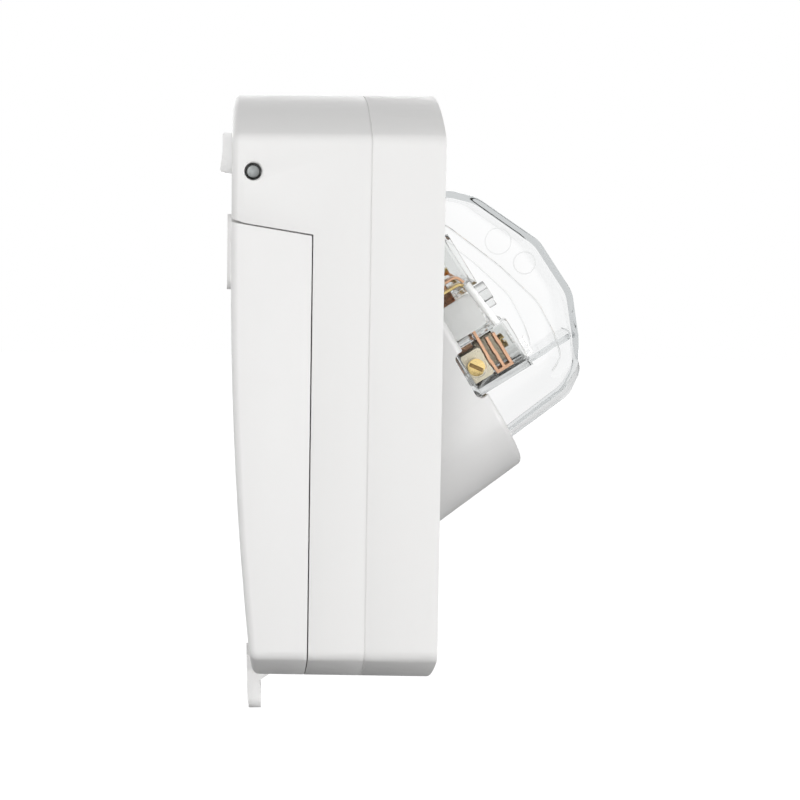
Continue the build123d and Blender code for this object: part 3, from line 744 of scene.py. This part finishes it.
@dataclass
class Studio:
    """Pale floor, white surround, soft lamps and the camera."""

    floor_z: float = -0.24
    floor_size: float = 8.0
    floor_tone: float = 0.24
    floor_glow: float = 0.86            # share of the floor's look that is glow
    floor_clear: Pair = (0.35, 1.2)     # where the glow starts and ends to come through clear pieces
    floor_strength: float = 1.22        # the glow to the camera
    floor_through: float = 1.1          # the glow through clear pieces, in through levels
    ambient_edge: Pair = (-0.6, 0.8)
    ambient_level: Pair = (0.32, 0.40)
    gloss_level: float = 0.85
    through_level: float = 1.03
    shade_edge: Pair = (0.60, 0.965)
    shade_level: float = 0.62
    behind_edge: Pair = (0.05, 0.6)
    camera_place: Vec = (0.4855, -0.0476, 0.0376)
    yaw_deg: float = 4.894
    pitch_deg: float = 4.79
    roll_deg: float = 0.943
    lens_mm: float = 88.2
    lamps: tuple[Lamp, ...] = (
        Lamp("side_lamp", (1.1, -0.30, 0.05), 0.9, 6.1),
        Lamp("front_lamp", (0.2, -1.1, 0.10), 0.9, 3.1),
        Lamp("back_lamp", (0.80, 1.00, -0.25), 0.7, 16.0),
        Lamp("far_lamp", (-1.1, -0.15, 0.10), 0.9, 5.8),
    )

    def surround(self) -> None:
        """A white world, with shade to the sides of it for light that comes through a clear piece.

        The camera sees plain white, and gloss sees one level. A ray through a clear piece sees
        the full level round both ways of x, and the shade level between them. Diffuse light is
        a little brighter from above than from below.
        """
        world = bpy.data.worlds.new("surround")
        bpy.context.scene.world = world
        world.use_nodes = True
        tree = world.node_tree
        background = tree.nodes["Background"]
        background.inputs["Color"].default_value = (1, 1, 1, 1)
        path = tree.nodes.new("ShaderNodeLightPath")
        bearing = tree.nodes.new("ShaderNodeTexCoord").outputs["Generated"]

        def level(way: Vec, edges: Pair, levels: Pair) -> bpy.types.NodeSocket:
            """A level that goes smoothly from one to the other with the bearing's part along a way.

            Args:
                way: the direction that the bearing is measured along.
                edges: the parts where the change starts and ends.
                levels: the level before and after it.

            Returns:
                The level's socket.
            """
            along = tree.nodes.new("ShaderNodeVectorMath")
            along.operation = "DOT_PRODUCT"
            along.inputs[1].default_value = way
            tree.links.new(bearing, along.inputs[0])
            span = tree.nodes.new("ShaderNodeMapRange")
            span.interpolation_type = "SMOOTHSTEP"
            span.inputs["From Min"].default_value, span.inputs["From Max"].default_value = edges
            span.inputs["To Min"].default_value, span.inputs["To Max"].default_value = levels
            tree.links.new(along.outputs["Value"], span.inputs["Value"])
            return span.outputs["Result"]

        value = level((0, 0, 1), self.ambient_edge, self.ambient_level)
        ahead = level((-1, 0, 0), self.shade_edge, (self.shade_level, self.through_level))
        behind = level((1, 0, 0), self.behind_edge, (self.shade_level, self.through_level))
        brighter = tree.nodes.new("ShaderNodeMath")
        brighter.operation = "MAXIMUM"
        tree.links.new(ahead, brighter.inputs[0])
        tree.links.new(behind, brighter.inputs[1])
        choices = (("Is Glossy Ray", self.gloss_level), ("Is Transmission Ray", brighter.outputs[0]),
                   ("Is Camera Ray", 1.0))
        for ray, target in choices:
            choose = tree.nodes.new("ShaderNodeMix")
            tree.links.new(path.outputs[ray], choose.inputs["Factor"])
            tree.links.new(value, choose.inputs["A"])
            if isinstance(target, float):
                choose.inputs["B"].default_value = target
            else:
                tree.links.new(target, choose.inputs["B"])
            value = choose.outputs["Result"]
        tree.links.new(value, background.inputs["Strength"])

    def floor(self) -> None:
        """A plain pale floor that shows as white where no shadow falls on it."""
        half = self.floor_size / 2
        mesh = bpy.data.meshes.new("floor")
        corners = ((-half, -half), (half, -half), (half, half), (-half, half))
        mesh.from_pydata([(x, y, self.floor_z) for x, y in corners], [], [(0, 1, 2, 3)])
        floor = bpy.data.objects.new("floor", mesh)
        bpy.context.scene.collection.objects.link(floor)
        nodes = Nodes("pale_floor")
        nodes.set(Base_Color=(self.floor_tone, self.floor_tone, self.floor_tone, 1), Roughness=0.9)
        path = nodes.add("ShaderNodeLightPath")
        away = nodes.add("ShaderNodeVectorMath", operation="LENGTH")
        nodes.link(nodes.place, away.inputs[0])
        clear = nodes.add("ShaderNodeMapRange", interpolation_type="SMOOTHSTEP")
        clear.inputs["From Min"].default_value, clear.inputs["From Max"].default_value = self.floor_clear
        nodes.link(away.outputs["Value"], clear.inputs["Value"])
        through = nodes.add("ShaderNodeMath", operation="MULTIPLY")
        nodes.link(path.outputs["Is Transmission Ray"], through.inputs[0])
        nodes.link(clear.outputs["Result"], through.inputs[1])
        seen = nodes.add("ShaderNodeMath", operation="MAXIMUM")
        nodes.link(path.outputs["Is Camera Ray"], seen.inputs[0])
        nodes.link(through.outputs[0], seen.inputs[1])
        share = nodes.add("ShaderNodeMath", operation="MULTIPLY")
        share.inputs[1].default_value = self.floor_glow
        nodes.link(seen.outputs[0], share.inputs[0])
        strength = nodes.add("ShaderNodeMapRange")
        strength.inputs["To Min"].default_value = self.floor_strength
        strength.inputs["To Max"].default_value = self.through_level * self.floor_through
        nodes.link(path.outputs["Is Transmission Ray"], strength.inputs["Value"])
        glow = nodes.add("ShaderNodeEmission")
        nodes.link(strength.outputs["Result"], glow.inputs["Strength"])
        mix = nodes.add("ShaderNodeMixShader")
        nodes.link(share.outputs[0], mix.inputs["Fac"])
        nodes.link(nodes.shader.outputs["BSDF"], mix.inputs[1])
        nodes.link(glow.outputs["Emission"], mix.inputs[2])
        nodes.link(mix.outputs["Shader"], nodes.tree.nodes["Material Output"].inputs["Surface"])
        mesh.materials.append(nodes.material)

    def camera(self) -> None:
        """The camera at the outlet's right side, turned by its angles from a level look along -x."""
        yaw, pitch, roll = (math.radians(a) for a in (self.yaw_deg, self.pitch_deg, self.roll_deg))
        reach = math.cos(pitch)
        ahead = Vector((-math.cos(yaw) * reach, math.sin(yaw) * reach, -math.sin(pitch)))
        level = Vector((math.sin(yaw), math.cos(yaw), 0))
        upright = level.cross(ahead)
        right = level * math.cos(roll) + upright * math.sin(roll)
        up = upright * math.cos(roll) - level * math.sin(roll)
        turn = Matrix((right, up, -ahead)).transposed().to_4x4()
        lens = bpy.data.cameras.new("camera")
        lens.lens = self.lens_mm
        lens.sensor_width = 36
        lens.clip_start = 0.01
        holder = bpy.data.objects.new("camera", lens)
        holder.matrix_world = Matrix.Translation(self.camera_place) @ turn
        bpy.context.scene.collection.objects.link(holder)
        bpy.context.scene.camera = holder

    def build(self) -> None:
        """Set up everything that isn't the outlet."""
        bpy.context.scene.view_settings.view_transform = "Standard"
        self.surround()
        self.floor()
        for lamp in self.lamps:
            lamp.build()
        self.camera()


# ------------------------------------------------------------------ the outlet
@dataclass
class Case:
    """Back frame, front cover and recess housing, with their gaskets and screws."""

    edge_round: float = 0.3 * MM
    housing_round: float = 0.25 * MM

    def build(self) -> None:
        """Dress the fixed shells of the outlet."""
        smooth_copy("back_frame", "frame_shell", self.edge_round, Finish.CASE, "case")
        smooth_copy("front_cover", "cover_shell", self.edge_round, Finish.CASE, "case")
        smooth_copy("recess_housing", "housing_shell", self.housing_round, Finish.HOUSING, "case")
        dress_nodes(Finish.SEAL, "cover_gasket", "wall_gasket", "recess_seal", "socket_seal")
        dress_nodes(Finish.STEEL, "cover_screws")
        dress_nodes(Finish.FACE, "socket_face")


@dataclass
class HingePins:
    """The two steel pins that the lid turns on."""

    y: float = -43.5
    z: float = 51.5
    radius: float = 1.5
    inner_x: float = 32.2
    outer_x: float = 40.2
    chamfer: float = 0.3
    end_dome: float = 0.12
    dome_ring: Pair = (0.6, 0.09)

    def build(self) -> None:
        """Turn both pins, with chamfered and slightly domed ends."""
        length = self.outer_x - self.inner_x
        bend = np.linspace(0, math.pi / 2, 5)
        rim = [(self.radius - self.chamfer + self.chamfer * math.cos(a), self.chamfer * math.sin(a))
               for a in bend]
        far = [(r, length - self.chamfer + h) for r, h in rim]
        near = [(r, self.chamfer - h) for r, h in rim][::-1]
        ring, rise = self.dome_ring
        profile = [(0, -self.end_dome), (ring, -rise), *near, *far, (ring, length + rise),
                   (0, length + self.end_dome)]
        for side, name in ((1, "hinge_pin_right"), (-1, "hinge_pin_left")):
            place = Place((side * self.inner_x, self.y, self.z), (0, 1, 0), (side, 0, 0))
            shell = Shell().grid(turned(place, profile, 48), wrap_columns=True)
            # the pins take steel darkened to paint the shade in their holes
            shell.piece(name.replace("hinge_pin", "pin"), Finish.PIN_PAINTED_SHADE, "case", "steel", (name,))


@dataclass
class Flap:
    """The hinged lid with its pull tab."""

    edge_round: float = 0.35 * MM
    tab_half: float = 5.2
    rib_rows: tuple[float, ...] = (-72.4, -73.6, -74.8, -76.0)
    rib_radius: float = 0.32
    tab_back_y: float = -40.25

    def build(self) -> None:
        """Round the lid's edges and add the finger ribs on its pull tab."""
        smooth_copy("lid", "lid_shell", self.edge_round, Finish.LID, "lid")
        ribs = Shell()
        for z in self.rib_rows:
            ends = np.array([(x, self.tab_back_y, z) for x in (-self.tab_half, self.tab_half)])
            ribs.grid(tube(between(*ends, 9), self.rib_radius, 12), wrap_columns=True)
        ribs.piece("tab_ribs", Finish.LID, "lid", "lid_white")


@dataclass
class Switch:
    """Rocker switch in the head."""

    edge_round: float = 0.3 * MM
    spring_turns: float = 4.5
    spring_radius: float = 0.82
    spring_wire: float = 0.16
    spring_end: float = 0.25

    def spring(self) -> None:
        """A helix in place of the plunger's spring, from its lowest to its highest corner."""
        low, high = (np.array(corner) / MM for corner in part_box("rocker_spring"))
        middle = (low + high) / 2
        share = np.linspace(0, 1, 160)
        angle = 2 * math.pi * self.spring_turns * share
        reach = (high[1] - low[1]) / 2 - self.spring_end
        path = np.stack([middle[0] + self.spring_radius * np.cos(angle),
                         middle[1] + reach * (2 * share - 1),
                         middle[2] + self.spring_radius * np.sin(angle)], axis=1)
        coil = Shell().grid(tube(path, self.spring_wire, 8), wrap_columns=True)
        coil.piece("plunger_spring", Finish.STEEL, "rocker", "steel", ("rocker_spring",))

    def build(self) -> None:
        """Dress the switch's pieces."""
        # the rocker's whiter colour paints the front light on it
        smooth_copy("rocker", "rocker_key", self.edge_round, Finish.ROCKER_PAINTED_LIGHT, "rocker")
        dress_nodes(Finish.SWITCH, "switch_body")
        dress_nodes(Finish.STEEL, "rocker_pivot", "plunger")
        dress_nodes(Finish.BRASS, "moving_contact", "fixed_contacts")
        dress_nodes(Finish.COPPER, "link_bars")
        self.spring()


@dataclass
class Terminals:
    """Clear terminal base, with the metal inside it.

    A pair that places something on the base is (depth along the axis, height along the rim).
    """

    edge_round: float = 0.3 * MM
    side_head: Pair = (1.4, -14.2)
    side_head_x: float = 14.2
    side_height: float = 3.4
    side_slot_deg: float = 35.0
    top_head: Pair = (5.7, 10.2)
    top_head_x: float = 11.0
    top_height: float = 2.4
    earth_head: Pair = (9.8, -13.8)
    earth_height: float = 2.2
    head_radius: float = 2.1
    head_side: float = 1.3
    head_dome: float = 0.25
    head_height: float = 1.5
    slot: Pair = (0.9, 1.1)
    # the dark slab in each slot is painted shade: its size, and its rise above the head's underside
    shade_slab_size: Vec = (3.5, 0.86, 0.5)
    shade_slab_rise: float = 0.62
    shank_step: float = 0.25
    thread_depth: float = 0.22
    lug_x: float = 11.6
    lug_line: tuple[Pair, ...] = ((0.0, 0.6), (0.0, 8.6), (-2.2, 9.6))
    lug_bend: float = 1.2
    lug_width: float = 5.0
    brass_lug: Pair = (4.9, 0.8)        # height along the rim, and thickness
    copper_lug: Pair = (6.9, 0.7)
    panel: Vec = (0.7, 8.6, 9.6)
    panel_x: float = 15.6
    panel_middle: Pair = (4.6, -2.2)
    guide_x: float = 16.9
    guide_bar: tuple[Pair, Pair] = ((9.7, 4.3), (11.1, -7.9))
    guide_radius: float = 0.95
    ladder: tuple[Pair, Pair] = ((13.6, -13.6), (13.4, -18.4))
    ladder_width: float = 1.35
    ladder_wire: float = 0.22
    rungs: tuple[float, ...] = (0.1, 0.38, 0.66, 0.94)

    def screws(self) -> None:
        """Slotted brass screws: two that face the base's sides, two in its upper chambers, one for earth.

        Each has a domed head, a shank with a rolled thread below it, and a dark slab in its slot that
        paints the slot's shade.
        """
        heads, shade_slabs = Shell(), Shell()
        across = (1, 0, 0)
        for side in (1, -1):
            self.screw(heads, shade_slabs, in_socket(side * self.side_head_x, *self.side_head),
                       self.side_way(self.side_slot_deg), (side, 0, 0), self.side_height)
            self.screw(heads, shade_slabs, in_socket(side * self.top_head_x, *self.top_head),
                       across, SOCKET.z, self.top_height)
        self.screw(heads, shade_slabs, in_socket(0.0, *self.earth_head), across, SOCKET.z, self.earth_height)
        heads.piece("slotted_screws", Finish.BRASS, "case", "brass", ("terminal_screws",))
        # the dark slabs in the slots are painted shade
        shade_slabs.piece("painted_slot_shade", Finish.SLOT_SHADE, "case", "brass")

    def side_way(self, turn_deg: float) -> Vec:
        """A direction in the base's side plane.

        Args:
            turn_deg: its angle from straight down the rim, towards the axis.

        Returns:
            The direction.
        """
        turn = math.radians(turn_deg)
        ends = SOCKET.out(np.array([[0, math.cos(turn), math.sin(turn)], [0, 0, 0]])) / MM
        return tuple(ends[0] - ends[1])

    def screw(self, heads: Shell, shade_slabs: Shell, foot: Vec, way: Vec, axis: Vec, height: float) -> None:
        """Add one screw.

        Args:
            heads: the shell that takes the screw's surfaces.
            shade_slabs: the shell that takes the dark slab in its slot, which is painted shade.
            foot: where the collar meets the terminal, in millimetres.
            way: direction of the driver slot.
            axis: direction that the head faces.
            height: height of the whole head above the foot.
        """
        collar = height - self.head_height
        place = Place(foot, way, axis)
        raised = Place(tuple(np.array(foot) + np.array(unit(np.array(axis, float))) * collar), way, axis)
        heads.grid(slotted_head(raised, self.head_radius, self.head_side, self.head_dome, self.slot))
        # a dark slab low in the slot paints the slot's shade
        middle = Place(tuple(raised.out(np.array([0, 0, self.shade_slab_rise])) / MM), way, axis)
        shade_slabs.grid(slab(middle, self.shade_slab_size), wrap_columns=True)
        radius = self.head_radius - self.shank_step
        thread = [(radius - self.thread_depth * (index % 2), h)
                  for index, h in enumerate(np.linspace(0.0, collar, 15))]
        heads.grid(turned(place, [(0, 0), *thread, (0, collar)], 40), wrap_columns=True)

    def lugs(self) -> None:
        """Bent strips in the upper chambers, from the link bars to the terminal blocks."""
        brass, copper = Shell(), Shell()
        line = bent_line(self.lug_line, self.lug_bend)
        for side in (1, -1):
            for shell, (height, thick) in ((brass, self.brass_lug), (copper, self.copper_lug)):
                place = Place(in_socket(side * self.lug_x, 0.0, height),
                              tuple(np.cross((1, 0, 0), SOCKET.z)), SOCKET.z)
                shell.grid(strip(place, line, thick, self.lug_width), wrap_columns=True)
        brass.piece("upper_lugs", Finish.BRASS, "case", "brass")
        copper.piece("upper_strips", Finish.COPPER, "case", "copper")

    def frosted_panels(self) -> None:
        """Frosted plates inside both middle chambers."""
        shell = Shell()
        for side in (1, -1):
            place = Place(in_socket(side * self.panel_x, *self.panel_middle), (1, 0, 0), SOCKET.z)
            shell.grid(slab(place, self.panel), wrap_columns=True)
        shell.piece("frosted_panels", Finish.FROSTED, "case", "clear_base")

    def guides(self) -> None:
        """Round bars along both sides of the base, with the ladders that the cover's legs snap into."""
        bars = Shell()
        for side in (1, -1):
            x = side * self.guide_x
            ends = np.array([in_socket(x, *point) for point in self.guide_bar])
            bars.grid(tube(between(*ends, 12), self.guide_radius, 20), wrap_columns=True)
            rails = [np.array([in_socket(x, depth + shift, height) for depth, height in self.ladder])
                     for shift in (0.0, self.ladder_width)]
            rungs = [np.array([rail[0] + (rail[-1] - rail[0]) * share for rail in rails])
                     for share in self.rungs]
            for path in (*rails, *rungs):
                bars.grid(tube(between(*path, 5), self.ladder_wire, 10), wrap_columns=True)
        bars.piece("guide_bars", Finish.FROSTED, "case", "clear_base").visible_shadow = False

    def build(self) -> None:
        """Dress the terminals."""
        base = smooth_copy("terminal_base", "base_block", self.edge_round, Finish.CLEAR_BASE, "case")
        base.visible_shadow = False
        dress_nodes(Finish.STEEL, "base_screws")
        dress_nodes(Finish.COPPER, "active_contact", "neutral_contact", "earth_contact")
        dress_nodes(Finish.PLATED, "terminal_blocks")
        self.screws()
        self.lugs()
        self.frosted_panels()
        self.guides()


@dataclass
class ClearCover:
    """The faceted clear cover over the terminals.

    Its outlines lie in planes square to x. They and the places on it are (depth along the axis,
    height along the rim) in millimetres.
    """

    skin: float = 1.7
    floor: float = -3.0
    inset: float = 2.4
    corner_round: float = 1.7
    crease_round: float = 1.5
    flank: tuple[Pair, ...] = (
        (-3.0, 23.4), (10.0, 21.6), (12.2, 19.0), (18.0, 4.4), (21.4, -7.5), (21.0, -15.5),
        (19.6, -21.8), (16.0, -23.6), (-3.0, -24.2))
    shoulder: tuple[Pair, ...] = (
        (-3.0, 30.3), (17.8, 25.8), (23.0, 20.5), (30.5, 3.8), (31.0, -11.0), (26.5, -21.5),
        (23.0, -26.8), (17.0, -30.2), (-3.0, -32.1))
    crown: tuple[Pair, ...] = (
        (-3.0, 30.3), (17.8, 25.8), (23.0, 20.5), (30.5, 3.8), (31.0, -11.0), (27.5, -22.5),
        (24.5, -31.0), (18.9, -34.6), (-3.0, -36.4))
    flank_x: float = 24.4
    shoulder_x: float = 16.0
    way_height: float = 32.0
    way_reach: float = 10.0
    cable_way: Pair = (4.2, 12.8)       # radius, and depth along the axis
    bar_way: Vec = (17.2, 2.6, 6.1)     # width, thickness, and depth along the axis
    leg: Vec = (18.0, 1.5, 13.4)
    leg_middle: Pair = (20.0, -20.6)
    leg_squareness: float = 0.12
    bead: float = 0.2
    bead_inset: float = 0.42
    ejector: Vec = (23.5, 1.9, 2.6)     # place, and radius of the ring
    ejector_rise: float = 0.14
    gate: Vec = (20.8, 9.6, 3.1)
    gate_rise: float = 0.05
    ring_half_width: float = 0.16

    def surface(self, skin: float) -> np.ndarray:
        """One surface of the cover: rounded outlines, joined across x with rounded creases.

        Each corner of an outline is drawn in by skin * (a + b) / (1 + a.b), where a and b
        point inwards, square to the two sides that meet there.

        Args:
            skin: how far inside the outer surface it lies.

        Returns:
            A grid of stations across x by points along the outline, in metres.
        """
        rows = []
        outlines = ((self.flank_x, self.inset, self.flank), (self.flank_x, 0.0, self.flank),
                    (self.shoulder_x, 0.0, self.shoulder), (0.0, 0.0, self.crown))
        for x, inset, outline in outlines:
            corners = np.array(outline)
            ahead = unit(np.diff(corners, axis=0))
            inward = np.stack([ahead[:, 1], -ahead[:, 0]], axis=1)
            first, second = inward[np.r_[0, 0:len(inward)]], inward[np.r_[0:len(inward), -1]]
            drawn_in = (first + second) / (1 + np.sum(first * second, axis=1, keepdims=True))
            corners = corners + (skin + inset) * drawn_in
            corners[[0, -1], 0] = self.floor
            line = bent_line(corners, self.corner_round, 9, 0.1)
            if outline is self.flank:
                x -= skin
            rows.append(np.column_stack([np.full(len(line), x), line]))
        share = np.linspace(0, 1, len(rows[0]))[:, None]
        foot = rows[0][:1] * (1 - share) + rows[0][-1:] * share
        right = [foot, *rows]
        left = [row * (-1, 1, 1) for row in right[-2::-1]]
        grid = bent_line(right + left, self.crease_round, 7, 0.1)
        return SOCKET.out(np.stack([grid[..., 0], -grid[..., 2], grid[..., 1]], axis=-1))

    def hood(self) -> None:
        """The cover's outer and inner surfaces, joined along its foot, with both ways cut into it."""
        outer, inner = self.surface(0.0), self.surface(self.skin)
        shell = Shell().grid(np.concatenate([outer, inner[::-1]]), wrap_rows=True)
        for end in (0, -1):
            shell.grid(np.stack([outer[:, end], inner[:, end]]))
        hood = shell.piece("cover_hood", Finish.CLEAR_COVER, "case", "clear_cover", ("terminal_cover",))
        radius, depth = self.cable_way
        length = 2 * self.way_reach
        up = tuple(np.array(in_socket(0, 0, 1)) - np.array(in_socket(0, 0, 0)))
        start = Place(in_socket(0, depth, self.way_height - self.way_reach), (1, 0, 0), up)
        round_way = Shell().grid(turned(start, [(0, 0), (radius, 0), (radius, length), (0, length)]),
                                 wrap_columns=True)
        width, thick, depth = self.bar_way
        corners = ((0, 0), (1, 0), (1, 1), (0, 1))
        low, top = ([in_socket(width * (a - 0.5), depth + thick * (b - 0.5), self.way_height + rise)
                     for a, b in corners] for rise in (-self.way_reach, self.way_reach))
        middle = np.mean([low, top], axis=1, keepdims=True) + np.zeros((2, len(corners), 3))
        flat_way = Shell().grid(np.stack([middle[0], low, top, middle[1]]) * MM, wrap_columns=True)
        for way in (round_way, flat_way):
            cut(hood, way)
        hood.visible_shadow = False

    def legs(self) -> None:
        """The legs that snap over the ends of the terminal base."""
        place = Place(in_socket(0, *self.leg_middle), (1, 0, 0), SOCKET.z)
        leg = Shell().grid(slab(place, self.leg, self.leg_squareness), wrap_columns=True)
        leg.piece("snap_legs", Finish.CLEAR_COVER, "case", "clear_cover").visible_shadow = False

    def marks(self) -> None:
        """Witness rings of an ejector pin and the gate on the right flank, and a bead on both creases."""
        shell = Shell()
        rings = ((self.ejector, self.ejector_rise), (self.gate, self.gate_rise))
        for (depth, height, radius), rise in rings:
            place = Place(in_socket(self.flank_x, depth, height), (0, 1, 0), (1, 0, 0))
            shell.grid(turned(place, ring_profile(radius, self.ring_half_width, rise), 72),
                       wrap_columns=True)
        line = bent_line(self.flank[1:-1], self.corner_round, 9)
        for side in (1, -1):
            x = side * (self.flank_x - self.bead_inset)
            path = np.array([in_socket(x, *point) for point in line])
            shell.grid(tube(path, self.bead, 8), wrap_columns=True)
        shell.piece("moulding_marks", Finish.CLEAR_BASE, "case", "clear_cover").visible_shadow = False

    def build(self) -> None:
        """Shape the cover and mark it."""
        self.hood()
        self.legs()
        self.marks()


def main() -> None:
    """Build the studio and every sub-assembly in order, and report each one."""
    logging.basicConfig(level=logging.INFO, format="%(message)s")
    for part in (Studio(), Case(), HingePins(), Flap(), Switch(), Terminals(), ClearCover()):
        part.build()
        log.info("built %s", type(part).__name__)


if __name__ == "__main__":
    main()
